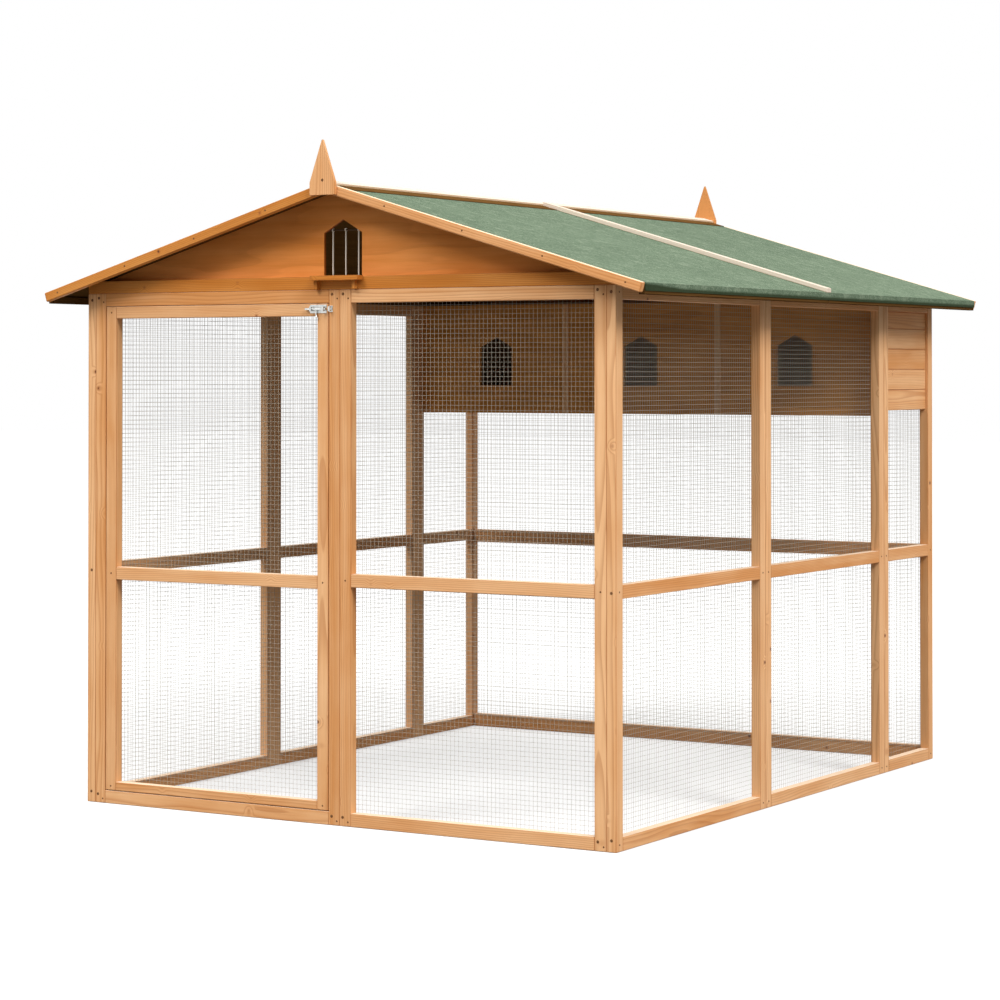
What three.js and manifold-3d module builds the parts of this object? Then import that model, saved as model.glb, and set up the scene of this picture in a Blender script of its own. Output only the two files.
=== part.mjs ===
// Walk-in pigeon loft: timber panels with welded mesh, a felt gable roof,
// a row of nest boxes at the rear and an entrance with swinging bob wires.
// Millimetres, +Z up. The origin lies on the ground under the middle of the roof,
// the door is at the front (-Y) and right (+X) is the right hand of someone facing it.

import * as THREE from 'three';
import { mergeVertices } from 'three/addons/utils/BufferGeometryUtils.js';
import Module from 'manifold-3d';

const wasm = await Module();
wasm.setup();

// Walls
const timberFace = 36;
const timberThickness = 28;
const wallWidth = 1720;
const wallHeight = 1448;
const frontBayLength = 875;
const middleBayLength = 830;
const rearBayLength = 385;
const midRailBottom = 644;
const rearRailFace = 43;

// Gaps: pieces cut to a slope, and the overrun of every cut
const clearance = 0.3;
const overrun = 5;

// Door
const doorOpeningWidth = 769;
const doorSeam = 2;
const doorTopSeam = 1;
const doorTopRail = 34;
const doorMidRailDrop = 8.5;
const doorBottomRail = 24;

// Nets of galvanised wire, each drawn as a thin sheet
const netThickness = 2;
const netLap = 7;

// Roof
const gableRise = 252.5;
const heelHeight = 23;
const sideOverhang = 110;
const frontOverhang = 64;
const rearOverhang = 100;
const deckThickness = 12;
const eaveBattenWidth = 20;
const eaveBattenHeight = 30;
const bargeHeight = 27;
const bargeThickness = 18;
const ridgeHalfWidth = 35;
const ridgeThickness = 6;
const seamBattenWidth = 30;
const seamBattenThickness = 12;
const finialThickness = 9;
const finialHalfWidth = 41;
const finialDrop = 35;
const finialSide = 34;
const finialTaper = 115;
const finialTipHalfWidth = 1;

// Gables
const tieBoardHeight = 36;
const gableBoardThickness = 9;

// Entrance of the front gable
const entranceWidth = 124;
const entranceSill = 39;
const entranceSide = 117;
const entrancePeak = 36;

// Landing shelf
const shelfShift = 6;
const shelfLength = 156;
const shelfDepth = 28;
const shelfThickness = 13;
const shelfDrop = 1;
const bracketWidth = 11;
const bracketDepth = 15;
const bracketHeight = 24;
const bracketSpread = 62;

// Bob wires
const bobPivotRise = 8;
const bobPivotStandoff = 5.5;
const bobRodRadius = 2;
const bobRodHalfLength = 70;
const bobSpread = 42;
const bobThickness = 3;
const bobEyeRadius = 5;
const bobEyeBore = 2.6;
const bobOverlap = 7;
const bobToeHeight = 4;
const bobStopGap = 0.4;

// Nest boxes
const nestBoard = 12;
const nestSeat = 6;
const nestLip = 17;
const nestDividerX = 277;
const nestEntranceSpacing = 545;
const nestEntranceWidth = 122;
const nestEntranceSill = 74;
const nestEntranceSide = 128;
const nestEntrancePeak = 34;

// Siding round the nest boxes
const sidingHeight = 305;
const sidingPitch = 63;
const sidingThickness = 12;
const sidingRecess = 8;
const sidingGrooveHalfWidth = 2;
const sidingGrooveDepth = 2;

// Butt hinges on the inner faces of the door and its left jamb
const hingeHeight = 64;
const hingeLeafWidth = 25;
const hingeLeafThickness = 1.5;
const hingeKnuckleRadius = 4;
const hingeKnuckleGap = 0.5;
const hingePinRadius = 1.7;
const hingeBoreRadius = 2.1;
const hingeInset = 170;

// Barrel bolt on the door's front face, shown drawn back
const boltPlateLength = 54;
const boltPlateHeight = 23;
const boltPlateThickness = 1.5;
const boltPlateInset = 5;
const boltPlateDrop = 3;
const boltRodRadius = 3.2;
const boltBoreRadius = 3.8;
const boltRodStandoff = 4.2;
const boltTravel = 17;
const boltSaddleWidth = 6;
const boltSaddleHalfHeight = 6.5;
const boltSaddleInset = 4;
const boltKnobRadius = 2.2;
const boltKnobBall = 4;
const boltKnobDrop = 21;
const boltKnobSetback = 31;
const keepWidth = 11;
const keepHeight = 17;
const keepInset = 2;

// Facets of round pieces
const roundSides = 12;
const wireSides = 8;

// Places worked out from the sizes above
const wallDepth = frontBayLength + middleBayLength + rearBayLength;
const roofLength = frontOverhang + wallDepth + rearOverhang;
const roofFront = -roofLength / 2;
const frontFace = roofFront + frontOverhang;
const frontInner = frontFace + timberThickness;
const rearFace = frontFace + wallDepth;
const rearInner = rearFace - timberThickness;
const rearBayFront = frontFace + frontBayLength + middleBayLength;
const sideOuter = wallWidth / 2;
const sideInner = sideOuter - timberThickness;
const jambInner = timberFace - sideInner;
const centreJambLeft = jambInner + doorOpeningWidth;
const centreJambRight = centreJambLeft + timberFace;
const fullHeight = [0, wallHeight];
const midRailTop = midRailBottom + timberFace;
const topRailBottom = wallHeight - timberFace;
const sidingBottom = topRailBottom - sidingHeight;
const betweenNets = sideInner - netThickness - clearance;
const sideways = [['right', 1], ['left', -1]];

const slope = gableRise / sideOuter;
const pitch = Math.atan(slope);
const deckDrop = deckThickness / Math.cos(pitch);
const roofHalfSpan = sideOuter + sideOverhang;
const apexHeight = wallHeight + heelHeight + gableRise + deckDrop;
const roofTop = (x) => apexHeight - slope * Math.abs(x);
const roofUnderside = (x) => roofTop(x) - deckDrop;

// Materials
const pineColour = 0xdca066;
const plywoodColour = 0xb5703a;
const nestColour = 0x8a5a34;
const feltColour = 0x55806a;
const wireColour = 0xb9bdbf;
const zincColour = 0xc9ccce;

const pine = () => new THREE.MeshStandardMaterial({ color: pineColour, roughness: 0.6, metalness: 0 });
const plywood = () => new THREE.MeshStandardMaterial({ color: plywoodColour, roughness: 0.6, metalness: 0 });
const nestBoarding = () => new THREE.MeshStandardMaterial({ color: nestColour, roughness: 0.7, metalness: 0 });
const felt = () => new THREE.MeshStandardMaterial({ color: feltColour, roughness: 0.95, metalness: 0 });
const wire = () => new THREE.MeshStandardMaterial({ color: wireColour, roughness: 0.4, metalness: 0.9 });
const zinc = () => new THREE.MeshStandardMaterial({ color: zincColour, roughness: 0.3, metalness: 1 });

// Spans and outlines
const ordered = (a, b) => [Math.min(a, b), Math.max(a, b)];
const from = (start, size) => ordered(start, start + size);
const about = (middle, size) => [middle - size / 2, middle + size / 2];

const rectangle = ([left, right], [low, high]) => [[left, low], [right, low], [right, high], [left, high]];

// A sheet has its outline in u and v, and a depth of one in w
const extruded = (shape) => (
  new THREE.ExtrudeGeometry(shape, { depth: 1, bevelEnabled: false, curveSegments: roundSides })
);
const outline = (points) => extruded(new THREE.Shape(points.map(([u, v]) => new THREE.Vector2(u, v))));

// Solids: a block between three spans, and sheets that stand in a wall's plane.
// Every corner takes its place straight from a span's end, so faces that touch have the same place.
function spread(geometry, setter, values, [low, high]) {
  const { position } = geometry.attributes;
  const middle = (Math.min(...values) + Math.max(...values)) / 2;
  values.forEach((value, index) => position[setter](index, value < middle ? low : high));
  return geometry;
}

const placesOf = (geometry, axis) => {
  const { position } = geometry.attributes;
  return Array.from({ length: position.count }, (_, index) => position.getComponent(index, axis));
};

function block(xSpan, ySpan, zSpan) {
  const geometry = new THREE.BoxGeometry(1, 1, 1);
  spread(geometry, 'setX', placesOf(geometry, 0), xSpan);
  spread(geometry, 'setY', placesOf(geometry, 1), ySpan);
  return spread(geometry, 'setZ', placesOf(geometry, 2), zSpan);
}

const xAxis = new THREE.Vector3(1, 0, 0);
const yAxis = new THREE.Vector3(0, 1, 0);
const zAxis = new THREE.Vector3(0, 0, 1);

// The sheet's u is x and its v is z, and the span is along y
function facingFront(sheet, ySpan) {
  const geometry = sheet.clone();
  geometry.applyMatrix4(new THREE.Matrix4().makeBasis(xAxis, zAxis, yAxis.clone().negate()));
  return spread(geometry, 'setY', placesOf(geometry, 1), ySpan);
}

// The sheet's u is y and its v is z, and the span is along x
function facingSide(sheet, xSpan) {
  const geometry = sheet.clone();
  geometry.applyMatrix4(new THREE.Matrix4().makeBasis(yAxis, zAxis, xAxis));
  return spread(geometry, 'setX', placesOf(geometry, 0), xSpan);
}

function roundAlongX(radius, [x0, x1], y, z, sides = roundSides) {
  const geometry = new THREE.CylinderGeometry(radius, radius, x1 - x0, sides);
  return geometry.rotateZ(Math.PI / 2).translate((x0 + x1) / 2, y, z);
}

function roundAlongZ(radius, x, y, [z0, z1], sides = roundSides) {
  const geometry = new THREE.CylinderGeometry(radius, radius, z1 - z0, sides);
  return geometry.rotateX(Math.PI / 2).translate(x, y, (z0 + z1) / 2);
}

// Joins and cuts
function toSolid(geometry) {
  const bare = geometry.clone();
  bare.deleteAttribute('normal');
  bare.deleteAttribute('uv');
  const merged = mergeVertices(bare);
  return new wasm.Manifold(new wasm.Mesh({
    numProp: 3,
    vertProperties: merged.attributes.position.array,
    triVerts: merged.index.array,
  }));
}

function toGeometry(solid) {
  const { vertProperties, triVerts } = solid.getMesh();
  const geometry = new THREE.BufferGeometry();
  geometry.setAttribute('position', new THREE.BufferAttribute(new Float32Array(vertProperties), 3));
  geometry.setIndex(new THREE.BufferAttribute(new Uint32Array(triVerts), 1));
  geometry.computeVertexNormals();
  return geometry;
}

const joined = (...pieces) => toGeometry(pieces.map(toSolid).reduce((body, piece) => body.add(piece)));

function cut(body, ...tools) {
  return toGeometry(tools.map(toSolid).reduce((rest, tool) => rest.subtract(tool), toSolid(body)));
}

// A sheet or frame with openings right through it
function pierced(facing, points, openings, [start, end]) {
  const tools = openings.map((opening) => facing(outline(opening), [start - overrun, end + overrun]));
  return cut(facing(outline(points), [start, end]), ...tools);
}

// Scene
const loft = new THREE.Group();

function groupIn(parent) {
  const group = new THREE.Group();
  parent.add(group);
  return group;
}

function add(parent, name, geometry, material) {
  const mesh = new THREE.Mesh(geometry, material);
  mesh.name = name;
  parent.add(mesh);
  return mesh;
}

// A net laps over the timber round its window
const widened = ([low, high]) => [low - netLap, high + netLap];

// The arched openings that a bird goes through
function birdEntrance(middle, width, bottom, side, peak) {
  const [left, right] = about(middle, width);
  const shoulder = bottom + side;
  return [[left, bottom], [right, bottom], [right, shoulder], [middle, shoulder + peak], [left, shoulder]];
}

// Side walls: three framed panels a side, with a net on each inner face
function sideWall(side, name) {
  const thickness = ordered(side * sideInner, side * sideOuter);
  const netSpan = ordered(side * sideInner, side * (sideInner - netThickness));
  const lowerWindow = [timberFace, midRailBottom];
  const upperWindow = [midRailTop, topRailBottom];
  const bays = [
    ['front', frontFace, frontFace + frontBayLength, topRailBottom + netLap],
    ['middle', frontFace + frontBayLength, rearBayFront, topRailBottom + netLap],
    ['rear', rearBayFront, rearFace, sidingBottom - clearance],
  ];
  const wall = groupIn(loft);
  for (const [bay, start, end, netTop] of bays) {
    const window = [start + timberFace, end - timberFace];
    const windows = [rectangle(window, lowerWindow), rectangle(window, upperWindow)];
    const frame = pierced(facingSide, rectangle([start, end], fullHeight), windows, thickness);
    add(wall, `${name}_side_frame_${bay}`, frame, pine());
    const netUp = [timberFace - netLap, netTop];
    add(wall, `${name}_side_mesh_${bay}`, block(netSpan, widened(window), netUp), wire());
  }
}

// Siding: boards with V grooves between them, in section
function sidingSection(outer, inward) {
  const inner = outer + inward * sidingThickness;
  const face = [[outer, sidingBottom]];
  const lastLine = topRailBottom - sidingGrooveHalfWidth - clearance;
  for (let line = sidingBottom + sidingPitch; line < lastLine; line += sidingPitch) {
    face.push([outer, line - sidingGrooveHalfWidth]);
    face.push([outer + inward * sidingGrooveDepth, line]);
    face.push([outer, line + sidingGrooveHalfWidth]);
  }
  return outline([...face, [outer, topRailBottom], [inner, topRailBottom], [inner, sidingBottom]]);
}

for (const [name, side] of sideways) {
  sideWall(side, name);
  const section = sidingSection(side * (sideOuter - sidingRecess), -side);
  const length = [rearBayFront + timberFace, rearFace - timberFace];
  add(loft, `${name}_nest_siding`, facingFront(section, length), pine());
}

// Front wall
const frontWall = groupIn(loft);
const frontThickness = [frontFace, frontInner];
const frontNetSpan = from(frontInner, netThickness);

// The doorway's surround: a jamb on each side, with a header and a sill between them
const surround = pierced(facingFront, rectangle([-sideInner, centreJambRight], fullHeight), [
  rectangle([jambInner, centreJambLeft], [timberFace, topRailBottom]),
], frontThickness);
add(frontWall, 'door_surround', surround, pine());

const panelWindow = [centreJambRight + timberFace, sideInner - timberFace];
const panelFrame = pierced(facingFront, rectangle([centreJambRight, sideInner], fullHeight), [
  rectangle(panelWindow, [timberFace, midRailBottom]),
  rectangle(panelWindow, [midRailTop, topRailBottom]),
], frontThickness);
const panelNet = block(widened(panelWindow), frontNetSpan, widened([timberFace, topRailBottom]));
add(frontWall, 'front_panel_frame', panelFrame, pine());
add(frontWall, 'front_panel_mesh', panelNet, wire());

// Door
const door = groupIn(frontWall);
const doorLeft = jambInner + doorSeam;
const doorRight = centreJambLeft - doorSeam;
const doorLow = timberFace + doorSeam;
const doorHigh = topRailBottom - doorTopSeam;
const doorMidRailBottom = midRailBottom - doorMidRailDrop;
const doorWindow = [doorLeft + timberFace, doorRight - timberFace];
const doorWindowLow = doorLow + doorBottomRail;
const doorWindowHigh = doorHigh - doorTopRail;
const doorLeaf = pierced(facingFront, rectangle([doorLeft, doorRight], [doorLow, doorHigh]), [
  rectangle(doorWindow, [doorWindowLow, doorMidRailBottom]),
  rectangle(doorWindow, [doorMidRailBottom + timberFace, doorWindowHigh]),
], frontThickness);
const doorNet = block(widened(doorWindow), frontNetSpan, widened([doorWindowLow, doorWindowHigh]));
add(door, 'door_frame', doorLeaf, pine());
add(door, 'door_mesh', doorNet, wire());

// Hinges: their axis stands in the door's seam, just inside the inner face.
// The jamb's leaf has two knuckles and the pin, the door's leaf has one knuckle.
const hingeX = jambInner + doorSeam / 2;
const hingeY = frontInner + hingeKnuckleGap + hingeKnuckleRadius;

function hinge(name, middle) {
  const [bottom, top] = about(middle, hingeHeight);
  const third = hingeHeight / 3;
  const leaf = from(frontInner, hingeLeafThickness);
  const knuckleReach = hingeKnuckleRadius + hingeKnuckleGap;
  const tabReach = hingeLeafWidth / 2;
  const lowKnuckle = [bottom, bottom + third - clearance];
  const midKnuckle = [bottom + third, top - third];
  const highKnuckle = [top - third + clearance, top];
  const frameLeaf = joined(
    block([hingeX - hingeLeafWidth, hingeX - knuckleReach], leaf, [bottom, top]),
    block([hingeX - tabReach, hingeX], leaf, lowKnuckle),
    block([hingeX - tabReach, hingeX], leaf, highKnuckle),
    roundAlongZ(hingeKnuckleRadius, hingeX, hingeY, lowKnuckle),
    roundAlongZ(hingeKnuckleRadius, hingeX, hingeY, highKnuckle),
    roundAlongZ(hingePinRadius, hingeX, hingeY, [bottom, top], wireSides),
  );
  const doorKnuckle = joined(
    block([hingeX + knuckleReach, hingeX + hingeLeafWidth], leaf, [bottom, top]),
    block([hingeX, hingeX + tabReach], leaf, midKnuckle),
    roundAlongZ(hingeKnuckleRadius, hingeX, hingeY, midKnuckle),
  );
  const bore = roundAlongZ(hingeBoreRadius, hingeX, hingeY, [bottom - overrun, top + overrun]);
  add(frontWall, `${name}_hinge_frame_leaf`, frameLeaf, zinc());
  add(door, `${name}_hinge_door_leaf`, cut(doorKnuckle, bore), zinc());
}

hinge('lower', doorLow + hingeInset);
hinge('upper', doorHigh - hingeInset);

// Barrel bolt: a rod in two saddles, with a knob that hangs below
const boltPlateRight = doorRight - boltPlateInset;
const boltPlateLeft = boltPlateRight - boltPlateLength;
const boltPlateHigh = doorHigh - boltPlateDrop;
const boltZ = boltPlateHigh - boltPlateHeight / 2;
const boltPlateSpan = from(frontFace, -boltPlateThickness);
const boltY = frontFace - boltPlateThickness - boltRodStandoff;
const boltSaddleSpan = [boltY - boltSaddleHalfHeight, frontFace - boltPlateThickness / 2];
const boltSaddleUp = [boltZ - boltSaddleHalfHeight, boltZ + boltSaddleHalfHeight];
const leftSaddle = from(boltPlateLeft + boltSaddleInset, boltSaddleWidth);
const rightSaddle = from(boltPlateRight - boltSaddleInset, -boltSaddleWidth);
const boltBody = joined(
  block([boltPlateLeft, boltPlateRight], boltPlateSpan, [boltPlateHigh - boltPlateHeight, boltPlateHigh]),
  block(leftSaddle, boltSaddleSpan, boltSaddleUp),
  block(rightSaddle, boltSaddleSpan, boltSaddleUp),
);
const boltBoreLength = [boltPlateLeft - overrun, boltPlateRight + overrun];
const boltBore = roundAlongX(boltBoreRadius, boltBoreLength, boltY, boltZ);
add(door, 'barrel_bolt_body', cut(boltBody, boltBore), zinc());

const rodRight = boltPlateRight - clearance;
const rodLeft = leftSaddle[0] - boltTravel;
const knobX = rodRight - boltKnobSetback;
const ball = new THREE.SphereGeometry(boltKnobBall, wireSides, wireSides - 2);
const boltRod = joined(
  roundAlongX(boltRodRadius, [rodLeft, rodRight], boltY, boltZ),
  roundAlongZ(boltKnobRadius, knobX, boltY, [boltZ - boltKnobDrop, boltZ], wireSides),
  ball.translate(knobX, boltY, boltZ - boltKnobDrop),
);
add(door, 'barrel_bolt_rod', boltRod, zinc());

const keepLeft = centreJambLeft + keepInset;
const keepBody = joined(
  block(from(keepLeft, keepWidth), boltPlateSpan, about(boltZ, keepHeight)),
  block(about(keepLeft + keepWidth / 2, boltSaddleWidth), boltSaddleSpan, boltSaddleUp),
);
const keepBoreLength = [keepLeft - overrun, keepLeft + keepWidth + overrun];
const keepBore = roundAlongX(boltBoreRadius, keepBoreLength, boltY, boltZ);
add(frontWall, 'barrel_bolt_keep', cut(keepBody, keepBore), zinc());

// Rear wall: three rails between the side walls, with a net below the nest boxes and siding behind them
const rearWall = groupIn(loft);
const acrossWalls = [-sideInner, sideInner];
const rearThickness = [rearInner, rearFace];
const rearRails = [
  ['bottom', [0, rearRailFace]],
  ['mid', [midRailTop - rearRailFace, midRailTop]],
  ['top', [topRailBottom, wallHeight]],
];
for (const [name, span] of rearRails) {
  add(rearWall, `rear_${name}_rail`, block(acrossWalls, rearThickness, span), pine());
}
const rearNetSpan = from(rearInner, -netThickness);
const rearNetUp = [rearRailFace - netLap, sidingBottom - clearance];
const rearSiding = sidingSection(rearFace - sidingRecess, -1);
add(rearWall, 'rear_mesh', block([-betweenNets, betweenNets], rearNetSpan, rearNetUp), wire());
add(rearWall, 'rear_siding', facingSide(rearSiding, acrossWalls), pine());

// Gables: a tie board over the wall and a sheet behind it, both cut off just under the roof
const gableTop = (x) => roofUnderside(x) - clearance;
const beyond = sideOuter + overrun;
const sky = apexHeight + overrun;
const overGable = [
  [-beyond, gableTop(beyond)],
  [0, gableTop(0)],
  [beyond, gableTop(beyond)],
  [beyond, sky],
  [-beyond, sky],
];
const acrossLoft = [-sideOuter, sideOuter];
const tieBoard = rectangle(acrossLoft, from(wallHeight, tieBoardHeight));
const gableSheet = rectangle(acrossLoft, [wallHeight, apexHeight]);
const entranceBottom = wallHeight + entranceSill;
const gableEntrance = birdEntrance(0, entranceWidth, entranceBottom, entranceSide, entrancePeak);
const boardBack = frontInner + gableBoardThickness;
const rearBoardFront = rearInner - gableBoardThickness;
const frontTie = pierced(facingFront, tieBoard, [overGable], frontThickness);
const frontBoard = pierced(facingFront, gableSheet, [overGable, gableEntrance], [frontInner, boardBack]);
const rearTie = pierced(facingFront, tieBoard, [overGable], rearThickness);
const rearBoard = pierced(facingFront, gableSheet, [overGable], [rearBoardFront, rearInner]);
add(frontWall, 'front_tie_board', frontTie, pine());
add(frontWall, 'front_gable_board', frontBoard, plywood());
add(rearWall, 'rear_tie_board', rearTie, pine());
add(rearWall, 'rear_gable_board', rearBoard, plywood());

// Landing shelf under the entrance, on two brackets
const shelfTop = entranceBottom - shelfDrop;
const shelfBottom = shelfTop - shelfThickness;
const bracketUp = [shelfBottom - bracketHeight, shelfBottom + shelfThickness / 2];
const bracketSpan = [frontFace - bracketDepth, frontFace];
const landingShelf = joined(
  block(about(shelfShift, shelfLength), [frontFace - shelfDepth, frontFace], [shelfBottom, shelfTop]),
  block(about(-bracketSpread, bracketWidth), bracketSpan, bracketUp),
  block(about(bracketSpread, bracketWidth), bracketSpan, bracketUp),
);
add(frontWall, 'landing_shelf', landingShelf, pine());

// Bob wires: they hang on a rod behind the entrance and swing inwards only
const bobY = boardBack + bobPivotStandoff;
const bobPivotHeight = entranceBottom + entranceSide + bobPivotRise;
const rodLeg = (x) => block(
  about(x, 2 * bobRodRadius),
  [boardBack, bobY],
  about(bobPivotHeight, 2 * bobRodRadius),
);
const bobRod = joined(
  roundAlongX(bobRodRadius, [-bobRodHalfLength, bobRodHalfLength], bobY, bobPivotHeight, wireSides),
  rodLeg(bobRodRadius - bobRodHalfLength),
  rodLeg(bobRodHalfLength - bobRodRadius),
);
add(frontWall, 'bob_rod', bobRod, wire());

// Each wire is drawn round its eye, with a toe at its foot that stops at the sill
function bobWire() {
  const half = bobThickness / 2;
  const bottom = entranceBottom - bobOverlap - bobPivotHeight;
  const toe = bobStopGap - bobPivotStandoff;
  const mouth = Math.asin(half / bobEyeRadius);
  const shape = new THREE.Shape();
  shape.moveTo(toe, bottom);
  shape.lineTo(half, bottom);
  shape.absarc(0, 0, bobEyeRadius, mouth - Math.PI / 2, 3 * Math.PI / 2 - mouth, false);
  shape.lineTo(-half, bottom + bobToeHeight);
  shape.lineTo(toe, bottom + bobToeHeight);
  const eye = new THREE.Path();
  eye.absarc(0, 0, bobEyeBore, 0, 2 * Math.PI, true);
  shape.holes.push(eye);
  return facingSide(extruded(shape), [-half, half]);
}

[-1, 0, 1].forEach((place, index) => {
  const hung = groupIn(frontWall);
  hung.position.set(place * bobSpread, bobY, bobPivotHeight);
  add(hung, `bob_wire_${index + 1}`, bobWire(), wire());
});

// Nest boxes: a front with three entrances, a floor, a lid and two dividers
const nestFront = rearBayFront + timberFace - nestSeat;
const nestInside = [nestFront + nestBoard, rearInner];
const nestLow = sidingBottom - nestLip;
const lidBottom = wallHeight - nestBoard;
const floorTop = sidingBottom + nestBoard;
const nestEntranceBottom = sidingBottom + nestEntranceSill;
const nestEntrances = [-nestEntranceSpacing, 0, nestEntranceSpacing].map((middle) => (
  birdEntrance(middle, nestEntranceWidth, nestEntranceBottom, nestEntranceSide, nestEntrancePeak)
));
const nestFace = pierced(facingFront, [
  [-betweenNets, nestLow],
  [betweenNets, nestLow],
  [betweenNets, sidingBottom],
  [sideInner, sidingBottom],
  [sideInner, wallHeight],
  [-sideInner, wallHeight],
  [-sideInner, sidingBottom],
  [-betweenNets, sidingBottom],
], nestEntrances, [nestFront, nestFront + nestBoard]);
const nests = groupIn(loft);
add(nests, 'nest_box_front', nestFace, nestBoarding());
add(nests, 'nest_box_floor', block(acrossWalls, nestInside, [sidingBottom, floorTop]), nestBoarding());
add(nests, 'nest_box_lid', block(acrossWalls, nestInside, [lidBottom, wallHeight]), nestBoarding());
for (const [name, side] of sideways) {
  const divider = block(about(side * nestDividerX, nestBoard), nestInside, [floorTop, lidBottom]);
  add(nests, `nest_box_divider_${name}`, divider, nestBoarding());
}

// Roof: four panels, each a deck with an eave batten and a rail that sits on the side wall
const roof = groupIn(loft);
const roofRear = -roofFront;
const bargeBack = roofFront + bargeThickness;
const rearBargeFront = roofRear - bargeThickness;
const halfGap = clearance / 2;
const frontLength = [bargeBack, -halfGap];
const rearLength = [halfGap, rearBargeFront];
const frontRailLength = [boardBack + clearance, -halfGap];
const rearRailLength = [halfGap, rearBoardFront - clearance];

function roofPanel(side, length, railLength) {
  const eaveInner = roofHalfSpan - eaveBattenWidth;
  const eaveBottom = roofTop(roofHalfSpan) - eaveBattenHeight;
  const deck = outline([
    [side * halfGap, roofTop(halfGap)],
    [side * roofHalfSpan, roofTop(roofHalfSpan)],
    [side * roofHalfSpan, eaveBottom],
    [side * eaveInner, eaveBottom],
    [side * eaveInner, roofUnderside(eaveInner)],
    [side * halfGap, roofUnderside(halfGap)],
  ]);
  const midDeck = deckDrop / 2;
  const rail = outline([
    [side * sideInner, wallHeight],
    [side * sideOuter, wallHeight],
    [side * sideOuter, roofUnderside(sideOuter) + midDeck],
    [side * sideInner, roofUnderside(sideInner) + midDeck],
  ]);
  return joined(facingFront(deck, length), facingFront(rail, railLength));
}

// Barge boards follow the roof's edge, mitred at the apex and square at the eave
function bargeBoard(side, span) {
  const eaveHeight = roofTop(roofHalfSpan);
  const foot = [roofHalfSpan - bargeHeight * Math.sin(pitch), eaveHeight - bargeHeight * Math.cos(pitch)];
  return facingFront(outline([
    [side * halfGap, roofTop(halfGap)],
    [side * roofHalfSpan, eaveHeight],
    [side * foot[0], foot[1]],
    [side * halfGap, roofTop(halfGap) - bargeHeight / Math.cos(pitch)],
  ]), span);
}

// A batten over the joint of the felt, lying on the slope
function seamBatten(side) {
  const lift = clearance / Math.cos(pitch);
  const rise = lift + seamBattenThickness / Math.cos(pitch);
  const inner = ridgeHalfWidth + clearance;
  return facingFront(outline([
    [side * inner, roofTop(inner) + lift],
    [side * roofHalfSpan, roofTop(roofHalfSpan) + lift],
    [side * roofHalfSpan, roofTop(roofHalfSpan) + rise],
    [side * inner, roofTop(inner) + rise],
  ]), about(0, seamBattenWidth));
}

// Ridge boards lie on both slopes and meet over the apex
const ridgeLow = roofTop(ridgeHalfWidth) + clearance;
const ridgeRise = ridgeThickness / Math.cos(pitch);
const ridgeSection = outline([
  [-ridgeHalfWidth, ridgeLow],
  [0, apexHeight + clearance],
  [ridgeHalfWidth, ridgeLow],
  [ridgeHalfWidth, ridgeLow + ridgeRise],
  [0, apexHeight + clearance + ridgeRise],
  [-ridgeHalfWidth, ridgeLow + ridgeRise],
]);

const finialBottom = apexHeight - finialDrop;
const finialShoulder = finialBottom + finialSide;
const finialTip = finialShoulder + finialTaper;
const finialOutline = outline([
  [-finialHalfWidth, finialBottom],
  [finialHalfWidth, finialBottom],
  [finialHalfWidth, finialShoulder],
  [finialTipHalfWidth, finialTip],
  [-finialTipHalfWidth, finialTip],
  [-finialHalfWidth, finialShoulder],
]);

for (const [name, side] of sideways) {
  add(roof, `${name}_roof_panel_front`, roofPanel(side, frontLength, frontRailLength), felt());
  add(roof, `${name}_roof_panel_rear`, roofPanel(side, rearLength, rearRailLength), felt());
  add(roof, `${name}_barge_board_front`, bargeBoard(side, [roofFront, bargeBack]), pine());
  add(roof, `${name}_barge_board_rear`, bargeBoard(side, [rearBargeFront, roofRear]), pine());
  add(roof, `${name}_seam_batten`, seamBatten(side), pine());
}
add(roof, 'ridge_board_front', facingFront(ridgeSection, [roofFront, -halfGap]), pine());
add(roof, 'ridge_board_rear', facingFront(ridgeSection, [halfGap, roofRear]), pine());
add(roof, 'finial_front', facingFront(finialOutline, from(roofFront, -finialThickness)), pine());
add(roof, 'finial_rear', facingFront(finialOutline, from(roofRear, finialThickness)), pine());

export default loft;
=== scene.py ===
# A walk-in pigeon loft of honey-stained pine: welded-mesh walls, a green felt roof,
# three nest boxes under the rear of the roof and a small entrance in the front gable.
# Metres, +Z up. The door is in the front wall (-Y), and right (+X) is on the right seen from there.

import math
import random

import bmesh
import bpy
from mathutils import Matrix, Vector


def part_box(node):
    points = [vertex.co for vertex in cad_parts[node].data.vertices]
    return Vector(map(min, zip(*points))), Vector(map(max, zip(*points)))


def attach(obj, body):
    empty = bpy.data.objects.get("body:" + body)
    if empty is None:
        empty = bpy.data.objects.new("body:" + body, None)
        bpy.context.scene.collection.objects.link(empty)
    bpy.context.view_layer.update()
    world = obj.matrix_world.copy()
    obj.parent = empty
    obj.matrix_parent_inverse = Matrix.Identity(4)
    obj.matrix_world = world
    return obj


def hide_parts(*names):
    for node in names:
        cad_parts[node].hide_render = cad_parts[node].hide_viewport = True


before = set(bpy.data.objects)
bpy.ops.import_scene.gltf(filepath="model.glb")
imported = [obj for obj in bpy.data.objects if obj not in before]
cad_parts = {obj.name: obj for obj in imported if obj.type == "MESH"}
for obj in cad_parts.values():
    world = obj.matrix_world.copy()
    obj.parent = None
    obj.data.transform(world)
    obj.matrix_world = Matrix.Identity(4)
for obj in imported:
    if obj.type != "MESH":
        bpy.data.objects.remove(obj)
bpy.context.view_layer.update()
scene = bpy.context.scene
scene.view_settings.view_transform = "Standard"
chance = random.Random(41)


# Camera: it stands to the right of the front, a little below the eaves, and looks nearly level,
# with the frame shifted down to take in the loft's foot.
camera_place = (4.3709, -7.4762, 1.2227)
camera_rise = 0.0141
camera_turn = 0.5414

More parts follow.
